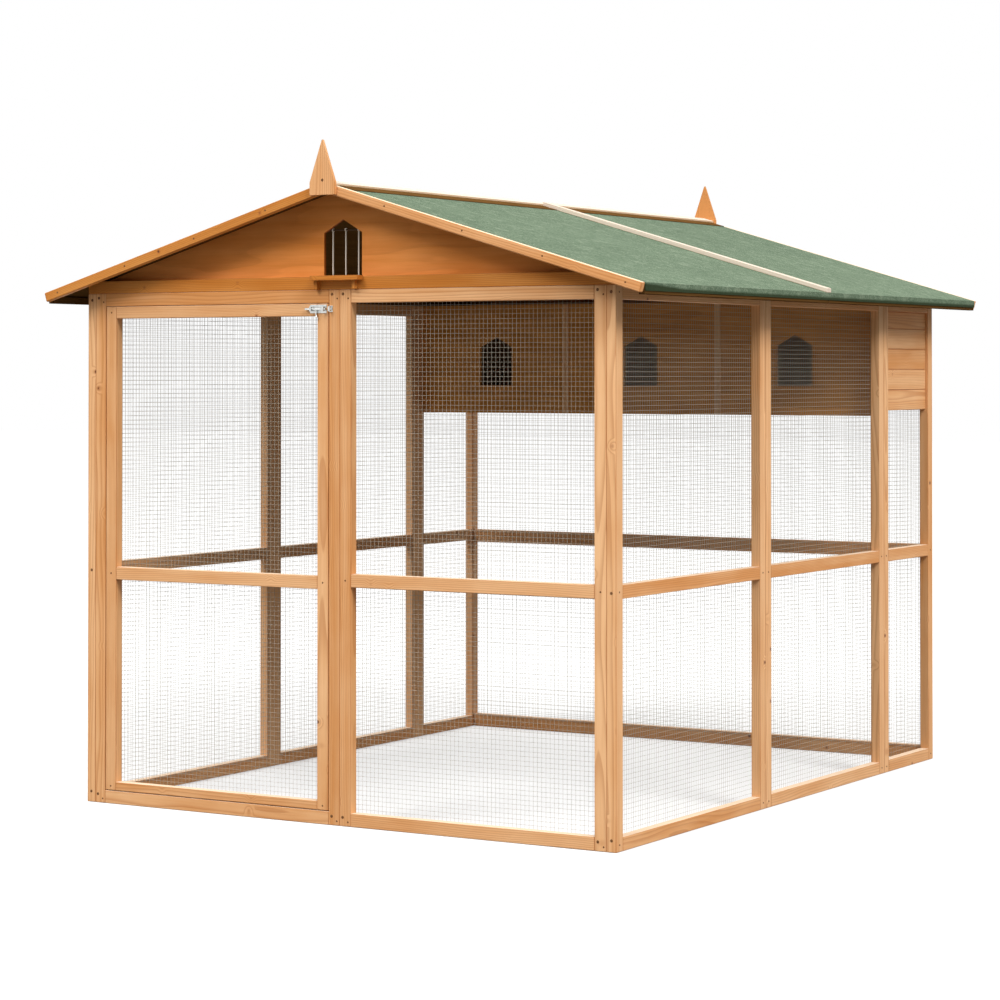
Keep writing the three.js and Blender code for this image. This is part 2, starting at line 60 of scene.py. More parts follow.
camera_data = bpy.data.cameras.new("camera")
camera_data.sensor_width = 36.0
camera_data.lens = 103.05
camera_data.shift_y = -0.1675
camera_data.clip_end = 60.0
camera = bpy.data.objects.new("camera", camera_data)
camera.location = camera_place
camera.rotation_euler = (math.pi / 2 + camera_rise, 0.0, camera_turn)
scene.collection.objects.link(camera)
scene.camera = camera


# Studio: a white floor and a white surround, with two large soft lights, one high at the front
# left and one high to the right. The floor keeps a faint shadow of the loft, and otherwise shows
# as the same white as the surround.
def linear(red, green, blue):
    """A colour in display values of 0 to 255, as the renderer's linear colour."""
    def channel(value):
        value /= 255
        return value / 12.92 if value <= 0.04045 else ((value + 0.055) / 1.055) ** 2.4
    return (channel(red), channel(green), channel(blue), 1.0)


x_axis, y_axis, z_axis = range(3)


class Reading:
    """The output of a node in a finish, which takes part in sums."""

    def __init__(self, finish, socket):
        self.finish = finish
        self.socket = socket

    def __add__(self, other):
        return self.finish.sum("ADD", self, other)

    def __sub__(self, other):
        return self.finish.sum("SUBTRACT", self, other)

    def __rsub__(self, other):
        return self.finish.sum("SUBTRACT", other, self)

    def __mul__(self, other):
        return self.finish.sum("MULTIPLY", self, other)

    def __truediv__(self, other):
        return self.finish.sum("DIVIDE", self, other)

    def __gt__(self, other):
        return self.finish.sum("GREATER_THAN", self, other)

    def __lt__(self, other):
        return self.finish.sum("LESS_THAN", self, other)

    __radd__ = __add__
    __rmul__ = __mul__


class Finish:
    """The node tree of a material or of the surround."""

    def __init__(self, owner):
        owner.use_nodes = True
        self.owner = owner
        self.tree = owner.node_tree
        self.tree.nodes.clear()

    def node(self, kind, settings, inputs, output=0):
        """Adds a node with these settings and inputs, and gives one of its outputs."""
        node = self.tree.nodes.new(kind)
        for name, value in settings.items():
            setattr(node, name, value)
        for name, value in inputs.items():
            if isinstance(value, Reading):
                self.tree.links.new(value.socket, node.inputs[name])
            else:
                node.inputs[name].default_value = value
        return Reading(self, node.outputs[output]) if len(node.outputs) else None

    def sum(self, operation, first, second):
        return self.node("ShaderNodeMath", {"operation": operation}, {0: first, 1: second})

    def mask(self, value, low, high):
        """Rises smoothly from 0 to 1 as a value goes from low to high."""
        settings = {"interpolation_type": "SMOOTHSTEP"}
        inputs = {"Value": value, "From Min": low, "From Max": high}
        return self.node("ShaderNodeMapRange", settings, inputs)

    def bands(self, value, rise, drop):
        """Rises and drops back, once in each whole step of a value."""
        step = self.node("ShaderNodeMath", {"operation": "FRACT"}, {0: value})
        return self.mask(step, *rise) * (1 - self.mask(step, *drop))

    def coats(self, colour, *layers):
        """A colour with others laid over it in turn, each as a share and its colour."""
        for share, over in layers:
            inputs = {0: share, 6: colour, 7: over}
            colour = self.node("ShaderNodeMix", {"data_type": "RGBA"}, inputs, output=2)
        return colour

    def noise(self, vector, scale, detail=2.0, roughness=0.5):
        inputs = {"Vector": vector, "Scale": scale, "Detail": detail, "Roughness": roughness}
        return self.node("ShaderNodeTexNoise", {}, inputs)

    def stretch(self, vector, factors):
        settings = {"operation": "MULTIPLY"}
        return self.node("ShaderNodeVectorMath", settings, {0: vector, 1: factors})

    def drawn_noise(self, vector, factors, detail, roughness):
        """Noise with a scale for each axis, drawn out along the axes where that is low."""
        return self.noise(self.stretch(vector, factors), 1.0, detail, roughness)

    def cells(self, vector, scale, output):
        """A pattern of scattered cells: how far their middles are, or a colour for each."""
        inputs = {"Vector": vector, "Scale": scale}
        return self.node("ShaderNodeTexVoronoi", {}, inputs, output=output)

    def lots(self, vector, scale):
        """A number from 0 to 1 for each cell of the pattern."""
        colour = self.cells(vector, scale, "Color")
        return self.node("ShaderNodeSeparateColor", {}, {"Color": colour}, output=0)

    def attribute(self, name, output=2):
        """What the mesh carries under a name: output 1 is a vector and output 2 a number."""
        return self.node("ShaderNodeAttribute", {"attribute_name": name}, {}, output=output)

    def place(self):
        """Where the surface lies in the loft's own frame."""
        return self.node("ShaderNodeTexCoord", {}, {}, output=3)

    def part(self, vector, axis):
        """A vector's part along an axis."""
        return self.node("ShaderNodeSeparateXYZ", {}, {"Vector": vector}, output=axis)

    def looked_at(self):
        """1 for rays that the camera sees, mirrored and through glass too, and 0 for the rest."""
        straight, mirrored, through = (
            self.node("ShaderNodeLightPath", {}, {}, output=f"Is {kind} Ray")
            for kind in ("Camera", "Glossy", "Transmission")
        )
        return self.mask(straight + mirrored + through, 0.0, 1.0)

    def surface(self, colour, roughness, bump=None, bump_depth=0.0, metallic=0.0, gloss=0.5):
        """A coat of that colour and roughness, with a height in metres if it has a relief."""
        inputs = {
            "Base Color": colour,
            "Roughness": roughness,
            "Metallic": metallic,
            "Specular IOR Level": gloss,
        }
        if bump is not None:
            relief = {"Height": bump, "Distance": bump_depth, "Strength": 1.0}
            inputs["Normal"] = self.node("ShaderNodeBump", {}, relief)
        shader = self.node("ShaderNodeBsdfPrincipled", {}, inputs)
        self.node("ShaderNodeOutputMaterial", {}, {"Surface": shader})
        return self.owner


def finish_named(name):
    return Finish(bpy.data.materials.new(name))


floor_reach = 40.0
floor_drop = 0.001
floor_glow = 0.45
floor_bright = (0.92, 0.92, 0.92, 1.0)
floor_dim = (0.17, 0.17, 0.16, 1.0)
white = (1.0, 1.0, 1.0, 1.0)

floor = bmesh.new()
bmesh.ops.create_grid(floor, x_segments=1, y_segments=1, size=floor_reach)
bmesh.ops.translate(floor, vec=(0.0, 0.0, -floor_drop), verts=floor.verts)
floor_data = bpy.data.meshes.new("floor")
floor.to_mesh(floor_data)
floor.free()
paving = finish_named("studio_floor")
looked_at = paving.looked_at()
paint = paving.coats(floor_dim, (looked_at, floor_bright))
matt = paving.node("ShaderNodeBsdfDiffuse", {}, {"Color": paint})
glow = paving.node("ShaderNodeEmission", {}, {"Color": white, "Strength": 1.0})
paved = paving.node("ShaderNodeMixShader", {}, {0: looked_at * floor_glow, 1: matt, 2: glow})
paving.node("ShaderNodeOutputMaterial", {}, {"Surface": paved})
floor_data.materials.append(paving.owner)
floor_object = bpy.data.objects.new("floor", floor_data)
scene.collection.objects.link(floor_object)

horizon_level = 0.13
zenith_level = 1.5
zenith_height = 0.9

world = bpy.data.worlds.new("surround")
scene.world = world
surround = Finish(world)
looked_at = surround.looked_at()
heading = surround.node("ShaderNodeTexCoord", {}, {}, output=0)
risen = surround.mask(surround.part(heading, z_axis), 0.0, zenith_height)
sky = horizon_level + risen * (zenith_level - horizon_level)
level = sky + looked_at * (1.0 - sky)
backdrop = surround.node("ShaderNodeBackground", {}, {"Color": white, "Strength": level})
surround.node("ShaderNodeOutputWorld", {}, {"Surface": backdrop})

lamp_width = 8.0
lamp_aim = Vector((0.2, -0.6, 0.7))

for name, place, power in (
    ("front_light", (-5.0, -14.0, 15.0), 2150.0),
    ("side_light", (14.5, -6.5, 14.5), 3500.0),
):
    lamp_data = bpy.data.lights.new(name, "AREA")
    lamp_data.size = lamp_width
    lamp_data.energy = power
    lamp = bpy.data.objects.new(name, lamp_data)
    lamp.location = place
    lamp.rotation_euler = (lamp_aim - Vector(place)).to_track_quat("-Z", "Y").to_euler()
    scene.collection.objects.link(lamp)


# Side walls: three panels a side, each two stiles and three rails of planed pine, 36 by 28 mm,
# butt jointed, screwed through the stiles and dipped in a honey-coloured stain. The faces that
# look up carry a painted highlight, paler for the light from above.
timber_face = 0.036
timber_edge = 0.0016
edge_steps = 2
edge_profile = 0.5
mid_rail = (0.644, 0.680)

pine_pale = linear(229, 181, 133)
pine_deep = linear(203, 138, 78)
pine_latewood = linear(166, 98, 44)
pine_top_highlight = linear(240, 218, 190)
pine_knot = linear(86, 42, 16)
pine_knot_rim = linear(150, 82, 36)

wood_gloss = 0.22
wood_roughness = 0.5
fibre_roughness = 0.22
wood_relief = 0.00035
fibre_relief = 0.6
latewood_relief = 0.4
knot_relief = 0.8
ring_spacing = 0.0046
ring_rise = (0.35, 0.92)
ring_drop = (0.94, 1.0)
ring_sway = 0.03
ring_bulge = 0.008
knot_cell = 0.075
knot_share = 0.42
knot_size = 0.0048
bulge_reach = (0.5, 5)
core_reach = (0.55, 1.05)
rim_reach = (0.8, 2.0)
# Each noise has its scales along the grain and across it, its detail and its roughness.
sway_noise = ((1.3, 8.0, 8.0), 2.0, 0.5)
fibre_noise = ((7.0, 420.0, 420.0), 3.0, 0.6)
streak_noise = ((1.6, 46.0, 46.0), 3.0, 0.55)
patch_noise = ((5.0, 11.0, 11.0), 2.0, 0.5)
stain_tone = 0.6
stain_streak = 0.9
stain_patch = 0.7
stain_start = 0.6
fibre_seen = (0.5, 0.85)
latewood_share = 0.4
fibre_share = 0.3
eased_shade_share = 0.45
rim_share = 0.55
core_share = 0.95
top_highlight_share = 0.45
highlight_streak_share = 0.5


def stained_wood(name, pale, deep, latewood, highlight_colour=pine_top_highlight, gloss=wood_gloss):
    """Stained softwood grained along each timber's own length, with painted shade on eased edges
    and a painted highlight on faces that look up.
    """
    wood = finish_named(name)
    grain = wood.attribute("grain", output=1)
    tone = wood.attribute("tone")
    eased = wood.attribute("eased")
    top_highlight = wood.attribute("top_highlight")

    chosen = wood.lots(grain, 1 / knot_cell) > 1 - knot_share
    from_knot = wood.cells(grain, 1 / knot_cell, "Distance") * knot_cell
    bulge, core, rim = (
        (1 - wood.mask(from_knot, knot_size * full, knot_size * gone)) * chosen
        for full, gone in (bulge_reach, core_reach, rim_reach)
    )
    across = wood.stretch(grain, (0.0, 1.0, 1.0))
    radius = wood.node("ShaderNodeVectorMath", {"operation": "LENGTH"}, {0: across}, "Value")
    sway = wood.drawn_noise(grain, *sway_noise)
    rings = (radius + sway * ring_sway + bulge * ring_bulge) / ring_spacing
    late = wood.bands(rings, ring_rise, ring_drop)
    fibre = wood.drawn_noise(grain, *fibre_noise)
    streak = wood.drawn_noise(grain, *streak_noise)
    patch = wood.drawn_noise(grain, *patch_noise)

    stain = tone * stain_tone + streak * stain_streak + patch * stain_patch - stain_start
    colour = wood.coats(
        pale,
        (wood.mask(stain, 0.0, 1.0), deep),
        (late * latewood_share, latewood),
        (wood.mask(fibre, *fibre_seen) * fibre_share, latewood),
        # Painted shade: the eased edges are darkened, for the shade in the seams between timbers.
        (eased * eased_shade_share, latewood),
        (rim * rim_share, pine_knot_rim),
        (core * core_share, pine_knot),
        # Painted highlight: the faces marked as looking up are paled, in streaks.
        (top_highlight * (top_highlight_share + streak * highlight_streak_share), highlight_colour),
    )
    roughness = wood_roughness + fibre * fibre_roughness
    relief = fibre * fibre_relief + late * latewood_relief - core * knot_relief
    return wood.surface(colour, roughness, relief, wood_relief, gloss=gloss)


def new_timbers():
    """An empty mesh for timbers, with the places for their grain, tone, eased edges and painted
    highlight.
    """
    mesh = bmesh.new()
    mesh.verts.layers.float_vector.new("grain")
    mesh.verts.layers.float.new("tone")
    mesh.faces.layers.float.new("eased")
    mesh.faces.layers.float.new("top_highlight")
    return mesh


pith_start = (2, 60)
pith_away = (0.03, 0.075)
usual_tones = (0.1, 0.9)


def lay_grain(mesh, corners, along, tone):
    """Runs the grain along a direction, round a pith somewhere outside the timber."""
    grain = mesh.verts.layers.float_vector["grain"]
    tones = mesh.verts.layers.float["tone"]
    turn = along.to_track_quat("X", "Z").to_matrix().inverted()
    side = chance.uniform(0, 2 * math.pi)
    pith = Vector((chance.uniform(*pith_start), math.cos(side), math.sin(side)))
    pith.yz *= chance.uniform(*pith_away)
    middle = sum((corner.co for corner in corners), Vector()) / len(corners)
    shade = chance.uniform(*usual_tones) if tone is None else tone
    for corner in corners:
        corner[grain] = turn @ (corner.co - middle) + pith
        corner[tones] = shade


def linked_faces(corners):
    return list({face for corner in corners for face in corner.link_faces})


def linked_edges(corners):
    return list({line for corner in corners for line in corner.link_edges})


cut_reach = 1e-6


def ease(mesh, corners, along, tone, edge, cuts):
    """Cuts a timber off beyond planes, eases its edges and lays its grain."""
    for point, normal in cuts:
        done = bmesh.ops.bisect_plane(
            mesh, geom=corners + linked_faces(corners) + linked_edges(corners), dist=cut_reach,
            plane_co=point, plane_no=normal, clear_outer=True,
        )
        rim = [part for part in done["geom_cut"] if isinstance(part, bmesh.types.BMEdge)]
        bmesh.ops.edgeloop_fill(mesh, edges=rim)
        remaining = {part for part in done["geom"] + done["geom_cut"] if part.is_valid}
        corners = [part for part in remaining if isinstance(part, bmesh.types.BMVert)]
    before = set(mesh.verts) - set(corners)
    rounded = bmesh.ops.bevel(
        mesh, geom=linked_edges(corners), offset=edge, offset_type="OFFSET",
        segments=edge_steps, profile=edge_profile, affect="EDGES", material=-1,
        clamp_overlap=True,
    )["faces"]
    for face in rounded:
        face[mesh.faces.layers.float["eased"]] = 1.0
    lay_grain(mesh, [corner for corner in mesh.verts if corner not in before], along, tone)


def add_timber(mesh, xs, ys, zs, tone=None, edge=timber_edge, cuts=()):
    """One planed timber between three spans, its edges eased, cut off beyond any planes."""
    low = Vector((xs[0], ys[0], zs[0]))
    high = Vector((xs[1], ys[1], zs[1]))
    size = high - low
    corners = bmesh.ops.create_cube(mesh, size=1.0)["verts"]
    fitted = Matrix.Translation((low + high) / 2) @ Matrix.Diagonal((*size, 1.0))
    bmesh.ops.transform(mesh, matrix=fitted, verts=corners)
    along = Vector([1.0 if part == max(size) else 0.0 for part in size])
    ease(mesh, corners, along, tone, edge, cuts)


def first(span, length=timber_face):
    """The part of a span at its low end, as long as a timber's face if nothing else is said."""
    return (span[0], span[0] + length)


def last(span, length=timber_face):
    """The part of a span at its high end."""
    return (span[1] - length, span[1])


def add_frame(mesh, box, axis, rails, stile_tones, rail_tones=(None, None, None)):
    """Two stiles over a box's height, and rails between them that run along an axis."""
    near, far = first(box[axis]), last(box[axis])
    between = (near[1], far[0])
    members = list(zip((near, far), (box[z_axis], box[z_axis]), stile_tones))
    members += [(between, height, tone) for height, tone in zip(rails, rail_tones)]
    for reach, height, tone in members:
        place = list(box)
        place[axis] = reach
        place[z_axis] = height
        add_timber(mesh, *place, tone)


def paint_top_highlight(mesh, share=1.0, least_rise=0.4):
    """Marks the faces that look up for a painted highlight, paler where light falls from above."""
    bmesh.ops.recalc_face_normals(mesh, faces=mesh.faces)
    for face in mesh.faces:
        looks_up = face.normal.z > least_rise
        face[mesh.faces.layers.float["top_highlight"]] = share if looks_up else 0.0


def put_in_place(name, mesh, material):
    """A finished mesh as a piece of the loft, in its own place."""
    bmesh.ops.recalc_face_normals(mesh, faces=mesh.faces)
    data = bpy.data.meshes.new(name)
    mesh.to_mesh(data)
    mesh.free()
    data.materials.append(material)
    piece = bpy.data.objects.new(name, data)
    scene.collection.objects.link(piece)
    return piece


def spans(node):
    """The spans of a node along x, y and z."""
    low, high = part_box(node)
    return tuple((low[axis], high[axis]) for axis in range(3))


stained_pine = stained_wood("stained_pine", pine_pale, pine_deep, pine_latewood)
bay_tones = {"front": (0.2, 0.15), "middle": (0.1, 0.15), "rear": (0.25, 0.55)}

for side in ("left", "right"):
    for bay, stile_tones in bay_tones.items():
        node = f"{side}_side_frame_{bay}"
        box = spans(node)
        rails = (first(box[z_axis]), mid_rail, last(box[z_axis]))
        panel = new_timbers()
        add_frame(panel, box, y_axis, rails, stile_tones)
        paint_top_highlight(panel)
        piece = put_in_place(f"{side}_side_panel_{bay}", panel, stained_pine)
        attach(piece, "loft")
        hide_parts(node)


# Nets: half-inch welded mesh of galvanised wire, stapled to the inner faces of the frames.
# The upright wires lie against the timber and the level ones are welded on behind them.
mesh_pitch = 0.0127
wire_radius = 0.00036
wire_sides = 6

wire_dull = linear(156, 148, 134)
wire_bright = linear(180, 173, 160)
zinc_gloss = 0.12
zinc_roughness = 0.55
spangle_roughness = 0.15
spangle_scale = 900.0


def galvanised(name, dull, bright):
    """Dull zinc, spangled between two colours."""
    zinc = finish_named(name)
    spangle = zinc.noise(zinc.place(), spangle_scale)
    colour = zinc.coats(dull, (spangle, bright))
    roughness = zinc_roughness + spangle * spangle_roughness
    return zinc.surface(colour, roughness, gloss=zinc_gloss)


def add_wires(mesh, start, run, step, count):
    """A row of straight wires, each a step on from the last."""
    wire = bmesh.ops.create_cone(
        mesh, cap_ends=True, segments=wire_sides, radius1=wire_radius, radius2=wire_radius,
        depth=run.length,
    )["verts"]
    turn = run.to_track_quat("Z", "Y").to_matrix().to_4x4()
    bmesh.ops.transform(mesh, matrix=Matrix.Translation(start + run / 2) @ turn, verts=wire)
    bmesh.ops.spin(
        mesh, geom=wire + linked_edges(wire) + linked_faces(wire), cent=start,
        axis=(0.0, 0.0, 1.0), dvec=step, angle=0.0, steps=count - 1, use_duplicate=True,
    )


def welded_mesh(node, outward):
    """Fills a node's place with wires. Outward is the way to the timber they are stapled to."""
    low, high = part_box(node)
    across = Vector((abs(outward.y), abs(outward.x), 0.0))
    up = Vector((0.0, 0.0, 1.0))
    width = (high - low).dot(across)
    height = (high - low).z
    middle = (low + high) / 2
    timber_side = middle + outward * wire_radius
    flight_side = middle - outward * wire_radius
    mesh = bmesh.new()
    uprights = int(width / mesh_pitch)
    levels = int(height / mesh_pitch)
    start = timber_side - across * (uprights * mesh_pitch / 2) - up * height / 2
    add_wires(mesh, start, up * height, across * mesh_pitch, uprights + 1)
    start = flight_side - across * width / 2 - up * (levels * mesh_pitch / 2)
    add_wires(mesh, start, across * width, up * mesh_pitch, levels + 1)
    return mesh


galvanised_wire = galvanised("galvanised_wire", wire_dull, wire_bright)
side_ways = {"left": Vector((-1.0, 0.0, 0.0)), "right": Vector((1.0, 0.0, 0.0))}

for side, outward in side_ways.items():
    for bay in bay_tones:
        node = f"{side}_side_mesh_{bay}"
        net = welded_mesh(node, outward)
        piece = put_in_place(f"{side}_side_net_{bay}", net, galvanised_wire)
        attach(piece, "loft")
        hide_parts(node)


# Front wall: a jamb on each side of the doorway, a header and a sill between them,
# and a fixed panel to the right, made like the side panels, with its net inside.
forward = Vector((0.0, -1.0, 0.0))
jamb_tones = (0.55, 0.75)
# The header's tone is darker: painted shade under the eaves.
header_and_sill_tones = (1.05, 0.5)
front_stile_tones = (0.5, 0.05)
front_rail_tones = (0.3, 0.15, 0.35)

box = spans("door_surround")
header_and_sill = (last(box[z_axis]), first(box[z_axis]))
doorway = new_timbers()
add_frame(doorway, box, x_axis, header_and_sill, jamb_tones, header_and_sill_tones)
paint_top_highlight(doorway)
piece = put_in_place("doorway", doorway, stained_pine)
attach(piece, "loft")
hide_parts("door_surround")

box = spans("front_panel_frame")
rails = (first(box[z_axis]), mid_rail, last(box[z_axis]))
panel = new_timbers()
add_frame(panel, box, x_axis, rails, front_stile_tones, front_rail_tones)
paint_top_highlight(panel)
piece = put_in_place("front_panel", panel, stained_pine)
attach(piece, "loft")
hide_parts("front_panel_frame")

net = welded_mesh("front_panel_mesh", forward)
piece = put_in_place("front_panel_net", net, galvanised_wire)
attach(piece, "loft")
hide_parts("front_panel_mesh")


# Rear wall: three rails of the same pine, screwed between the side walls, the lower two taller
# than the rest, with a net below the nest boxes.
for name, tone in (("bottom", 0.7), ("mid", 0.6), ("top", 0.5)):
    node = f"rear_{name}_rail"
    rail = new_timbers()
    add_timber(rail, *spans(node), tone)
    paint_top_highlight(rail)
    piece = put_in_place(f"rear_{name}_timber", rail, stained_pine)
    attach(piece, "loft")
    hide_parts(node)

piece = put_in_place("rear_net", welded_mesh("rear_mesh", -forward), galvanised_wire)
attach(piece, "loft")
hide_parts("rear_mesh")


# Door: a leaf of the same timber with its own net, hung on the left jamb to swing inwards.
# It stands between the header and the sill, and its top and bottom rails are the narrower ones.
door_mid_rail = (0.6355, 0.6715)
door_bottom_rail = 0.024
door_top_rail = 0.034
door_stile_tones = (0.45, 0.35)
door_rail_tones = (0.55, 0.2, 0.4)

box = spans("door_frame")
bottom_rail = first(box[z_axis], door_bottom_rail)
top_rail = last(box[z_axis], door_top_rail)
rails = (bottom_rail, door_mid_rail, top_rail)
leaf = new_timbers()
add_frame(leaf, box, x_axis, rails, door_stile_tones, door_rail_tones)
paint_top_highlight(leaf)
piece = put_in_place("door_leaf", leaf, stained_pine)
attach(piece, "door")
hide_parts("door_frame")

piece = put_in_place("door_net", welded_mesh("door_mesh", forward), galvanised_wire)
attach(piece, "door")
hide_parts("door_mesh")


# Hinges and bolt: bright zinc-plated steel, the hinges on the inner faces,
# the barrel bolt on the door's front face with its keep on the centre jamb.
plate_dull = linear(178, 180, 178)
plate_bright = linear(222, 223, 220)
plate_roughness = 0.24
cloud_roughness = 0.2
cloud_scale = 160.0
cloud_detail = 3.0


def dress(node, material):
    """Gives a node that keeps its own shape another finish."""
    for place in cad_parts[node].material_slots:
        place.material = material


plate = finish_named("zinc_hardware")
cloud = plate.noise(plate.place(), cloud_scale, cloud_detail)
colour = plate.coats(plate_dull, (cloud, plate_bright))
roughness = plate_roughness + cloud * cloud_roughness
zinc_hardware = plate.surface(colour, roughness, metallic=1.0)

for node in (
    "lower_hinge_frame_leaf", "lower_hinge_door_leaf",
    "upper_hinge_frame_leaf", "upper_hinge_door_leaf",
    "barrel_bolt_body", "barrel_bolt_rod", "barrel_bolt_keep",
):
    dress(node, zinc_hardware)


# Nest boxes: brown-stained boarding, with three arched entrances in the front board.
# The front is in lengths that meet on the dividers, where a thin strip covers the joint.
nest_pale = linear(228, 160, 86)
nest_deep = linear(178, 114, 52)
nest_streak = linear(92, 48, 12)

board_gloss = 0.06
board_roughness = 0.55
board_fibre_roughness = 0.2
board_relief = 0.0003
board_fibre_relief = 0.6
figure_relief = 0.4
board_streak_noise = ((2.2, 40.0, 40.0), 4.0, 0.6)
board_patch_noise = ((3.0, 6.0, 6.0), 3.0, 0.5)
board_fibre_noise = ((18.0, 420.0, 420.0), 2.0, 0.5)
whorl_noise = ((1.2, 5.0, 9.0), 2.0, 0.5)
whorl_lines = 9
whorl_rise = (0.3, 0.9)
whorl_drop = (0.93, 1.0)
board_stain_streak = 0.6
board_stain_patch = 0.5
board_stain_reach = (0.2, 0.9)
board_fibre_seen = (0.5, 0.9)
board_fibre_share = 0.15
figure_share = 0.15


def boarding(name, pale, deep, streak_colour, cut_edge_shade=None):
    """Stained board or plywood whose grain runs along x, dark on a cut edge if one is given: end
    grain and painted shade.
    """
    wood = finish_named(name)
    place = wood.place()
    streak = wood.drawn_noise(place, *board_streak_noise)
    patch = wood.drawn_noise(place, *board_patch_noise)
    fibre = wood.drawn_noise(place, *board_fibre_noise)
    whorl = wood.drawn_noise(place, *whorl_noise)
    figure = wood.bands(whorl * whorl_lines, whorl_rise, whorl_drop)
    stain = streak * board_stain_streak + patch * board_stain_patch
    seen = wood.mask(fibre, *board_fibre_seen)
    colour = wood.coats(
        pale,
        (wood.mask(stain, *board_stain_reach), deep),
        (figure * figure_share + seen * board_fibre_share, streak_colour),
    )
    if cut_edge_shade is not None:
        colour = wood.coats(colour, (cut_edge_shade(wood, place), streak_colour))
    roughness = board_roughness + fibre * board_fibre_roughness
    relief = fibre * board_fibre_relief + figure * figure_relief
    return wood.surface(colour, roughness, relief, board_relief, gloss=board_gloss)


nest_boarding = boarding("nest_boarding", nest_pale, nest_deep, nest_streak)
dividers = ("nest_box_divider_left", "nest_box_divider_right")
for node in ("nest_box_front", "nest_box_floor", "nest_box_lid", *dividers):
    dress(node, nest_boarding)

strip_width = 0.022
strip_thickness = 0.003
strip_edge = 0.0008
strip_gap = 0.0002
strip_tone = 0.3

low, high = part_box("nest_box_front")
strips = new_timbers()
for divider in dividers:
    middle = sum(spans(divider)[0]) / 2
    xs = (middle - strip_width / 2, middle + strip_width / 2)
    ys = (low.y - strip_gap - strip_thickness, low.y - strip_gap)
    add_timber(strips, xs, ys, (low.z, high.z), strip_tone, strip_edge)
piece = put_in_place("nest_joint_strips", strips, stained_pine)
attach(piece, "loft")


# Siding round the nest boxes: level pine boards between the rear posts and across the rear,
# nailed to the frames one over the other, with a V groove at each joint.
board_pitch = 0.063
board_edge = 0.0022

for node, tones in (
    ("left_nest_siding", (0.5, 0.7, 0.4, 0.6, 0.8)),
    ("right_nest_siding", (0.55, 0.3, 0.7, 0.45, 0.85)),
    ("rear_siding", (0.4, 0.6, 0.5, 0.8, 0.7)),
):
    xs, ys, (bottom, top) = spans(node)
    siding = new_timbers()
    for row, tone in enumerate(tones):
        low = bottom + row * board_pitch
        add_timber(siding, xs, ys, (low, min(low + board_pitch, top)), tone, board_edge)
    piece = put_in_place(f"{node}_boards", siding, stained_pine)
    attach(piece, "loft")
    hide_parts(node)


# Gables: a pine tie board over the front and rear wall, darker as painted shade under the eaves,
# and a stained plywood sheet nailed behind it, with the birds' entrance cut through the front one.
# Painted shade: a darker copy of the pine stain, for the tie boards, the landing shelf and the left
# barge boards.
shaded_pine_pale = linear(212, 146, 74)
shaded_pine_deep = linear(186, 110, 32)
shaded_pine_latewood = linear(142, 76, 18)
shaded_pine = stained_wood("shaded_stained_pine", shaded_pine_pale, shaded_pine_deep, shaded_pine_latewood)
tie_tone = 0.8

roof_rise = 252.5
roof_run = 860
roof_slope = math.atan(roof_rise / roof_run)
under_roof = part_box("front_gable_board")[1].z


def slope_ways(way):
    """The ways down a slope and squarely out of it: -1 is the left slope and 1 the right one."""
    down = Vector((way * math.cos(roof_slope), 0.0, -math.sin(roof_slope)))
    out = Vector((way * math.sin(roof_slope), 0.0, math.cos(roof_slope)))
    return down, out


for end in ("front", "rear"):
    node = f"{end}_tie_board"
    cuts = [(Vector((0.0, 0.0, under_roof)), slope_ways(way)[1]) for way in (-1.0, 1.0)]
    board = new_timbers()
    add_timber(board, *spans(node), tie_tone, cuts=cuts)
    piece = put_in_place(f"{end}_tie_timber", board, shaded_pine)
    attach(piece, "loft")
    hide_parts(node)

ply_pale = linear(238, 158, 88)
ply_deep = linear(206, 122, 50)
ply_streak = linear(148, 78, 26)
entrance_reach = 0.063
cut_edge_depths = (0.0004, 0.0012)
gable_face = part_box("front_gable_board")[0].y


def entrance_edge(wood, place):
    """The cut edge of the entrance, behind the face of the front sheet, dark as end grain and as
    painted shade in the hole.
    """
    across = wood.part(place, x_axis)
    inward = wood.part(place, y_axis)
    behind = wood.mask(inward, *(gable_face + depth for depth in cut_edge_depths))
    return behind * (inward < 0.0) * (across * across < entrance_reach ** 2)


stained_plywood = boarding("stained_plywood", ply_pale, ply_deep, ply_streak, entrance_edge)
for node in ("front_gable_board", "rear_gable_board"):
    dress(node, stained_plywood)


# Landing shelf and bob wires: a pine shelf on two brackets under the entrance, and three
# round wires that hang in it from a rod and let a bird in but not out.
shelf_thickness = 0.013
shelf_edge = 0.001
shelf_tone = 0.9
bracket_width = 0.011
bracket_depth = 0.015
bracket_spread = 0.062
bracket_tone = 0.8

bob_dull = linear(198, 190, 176)
bob_bright = linear(226, 220, 208)
rod_dull = linear(48, 30, 14)
rod_bright = linear(66, 44, 24)

shelf_xs, shelf_ys, shelf_zs = spans("landing_shelf")
bracket_zs = (shelf_zs[0], shelf_zs[1] - shelf_thickness)
shelf = new_timbers()
add_timber(shelf, shelf_xs, shelf_ys, last(shelf_zs, shelf_thickness), shelf_tone, shelf_edge)
for middle in (-bracket_spread, bracket_spread):
    xs = (middle - bracket_width / 2, middle + bracket_width / 2)
    ys = last(shelf_ys, bracket_depth)
    add_timber(shelf, xs, ys, bracket_zs, bracket_tone, shelf_edge)
# The shelf takes the darker copy of the pine: painted shade.
piece = put_in_place("landing_shelf_timber", shelf, shaded_pine)
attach(piece, "loft")
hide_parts("landing_shelf")

bright_wire = galvanised("bright_wire", bob_dull, bob_bright)
for node in ("bob_wire_1", "bob_wire_2", "bob_wire_3"):
    dress(node, bright_wire)
# Painted shade: the rod is coloured as dark as the shade inside the entrance.
dress("bob_rod", galvanised("shaded_dark_rod", rod_dull, rod_bright))


